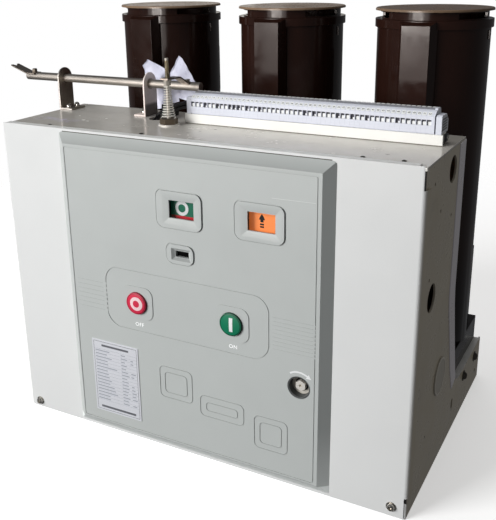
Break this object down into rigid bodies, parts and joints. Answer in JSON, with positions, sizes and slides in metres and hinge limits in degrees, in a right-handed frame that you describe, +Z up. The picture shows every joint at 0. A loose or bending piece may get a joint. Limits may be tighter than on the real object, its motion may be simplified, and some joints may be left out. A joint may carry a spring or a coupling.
{
  "type": "indoor vacuum circuit breaker",
  "caption": "Fixed indoor vacuum circuit breaker with a sheet-steel mechanism box, an operating panel, insulating pole cylinders on the rear, a terminal row and an interlock shaft.",
  "frame": {"origin": "centre of the footprint at floor level, without the interlock shaft that reaches out at the left", "axes": "+X to the right along the front, +Y back towards the poles, +Z up"},
  "size_m": [0.6826, 0.4075, 0.5777],
  "materials": {
    "cover_paint": "satin powder coat",
    "plate_paint": "satin powder coat",
    "zinc_plate": "zinc plated",
    "mechanism_steel": "dull",
    "panel_plastic": "fine texture",
    "clear_window": "clear",
    "counter_black": "gloss",
    "flag_green": "printed",
    "flag_orange": "printed",
    "button_red": "gloss",
    "button_green": "gloss",
    "socket_grey": "moulded",
    "bright_steel": "turned",
    "label_film": "printed foil",
    "plug_plastic": "moulded",
    "epoxy_brown": "glossy cast resin",
    "lid_epoxy": "glossy cast resin",
    "interrupter_ceramic": "glazed ceramic",
    "terminal_metal": "silver plated copper",
    "rail_cream": "moulded",
    "terminal_plastic": "moulded",
    "wire_black": "PVC sheath",
    "lever_steel": "dull steel",
    "spring_steel": "bright wire",
    "film_white": "thin foam film"
  },
  "bodies": {
    "breaker": {"front_cover": "cover_paint", "top_plate": "plate_paint", "left_side_plate": "plate_paint", "right_side_plate": "plate_paint", "rear_plate": "plate_paint", "pole_mounting_beams": "zinc_plate", "base_plate": "plate_paint", "rear_cross_member": "plate_paint", "pole_support_rails": "zinc_plate", "mechanism_block": "mechanism_steel", "operating_panel": "panel_plastic", "window_panes": "clear_window", "operation_counter": "counter_black", "crank_socket": "socket_grey", "rating_plate": "label_film", "side_hole_plugs": "plug_plastic", "left_pole_cylinder": "epoxy_brown", "middle_pole_cylinder": "epoxy_brown", "right_pole_cylinder": "epoxy_brown", "pole_lids": "lid_epoxy", "vacuum_interrupters": "interrupter_ceramic", "upper_terminals": "terminal_metal", "lower_terminals": "terminal_metal", "insulated_pull_rods": "epoxy_brown", "terminal_rail": "rail_cream", "terminal_row": "terminal_plastic", "terminal_end_stop": "terminal_plastic", "wiring_harness": "wire_black", "left_shaft_bracket": "zinc_plate", "right_shaft_bracket": "zinc_plate", "plunger_bush": "bright_steel", "plunger_spring": "spring_steel", "plug_wrap": "film_white"},
    "off_button_push": {"off_button": "button_red"},
    "on_button_push": {"on_button": "button_green"},
    "switch_flag": {"switch_indicator": "flag_green"},
    "storage_flag": {"storage_indicator": "flag_orange"},
    "crank_shaft": {"charging_shaft": "bright_steel"},
    "interlock_lever": {"interlock_shaft": "bright_steel", "fork_lever": "lever_steel", "finger_lever": "lever_steel"},
    "interlock_pin": {"interlock_plunger": "bright_steel"}
  },
  "joints": [
    {"name": "off_button_slide", "type": "slide", "parent": "breaker", "child": "off_button_push", "axis": [0, 1, 0], "range_m": [0, 0.006], "stiffness_N_per_m": 400, "springref_m": -0.004},
    {"name": "on_button_slide", "type": "slide", "parent": "breaker", "child": "on_button_push", "axis": [0, 1, 0], "range_m": [0, 0.006], "stiffness_N_per_m": 400, "springref_m": -0.004},
    {"name": "switch_flag_slide", "type": "slide", "parent": "breaker", "child": "switch_flag", "axis": [0, 0, 1], "range_m": [0, 0.022]},
    {"name": "storage_flag_slide", "type": "slide", "parent": "breaker", "child": "storage_flag", "axis": [0, 0, 1], "range_m": [0, 0.022]},
    {"name": "charging_shaft_spin", "type": "hinge", "parent": "breaker", "child": "crank_shaft", "pos_m": [0.156, -0.196, 0.1493], "axis": [0, 1, 0], "continuous": true},
    {"name": "interlock_turn", "type": "hinge", "parent": "breaker", "child": "interlock_lever", "pos_m": [-0.2, -0.0615, 0.479], "axis": [1, 0, 0], "range_deg": [0, 12], "stiffness_Nm_per_rad": 1, "springref_deg": -17.19},
    {"name": "interlock_pin_slide", "type": "slide", "parent": "breaker", "child": "interlock_pin", "axis": [0, 0, 1], "range_m": [-0.0118, 0], "deforming": ["plunger_spring"]}
  ],
  "couplings": [
    {"joint": "interlock_pin_slide", "follows": "interlock_turn", "m_per_rad": -0.0558}
  ]
}
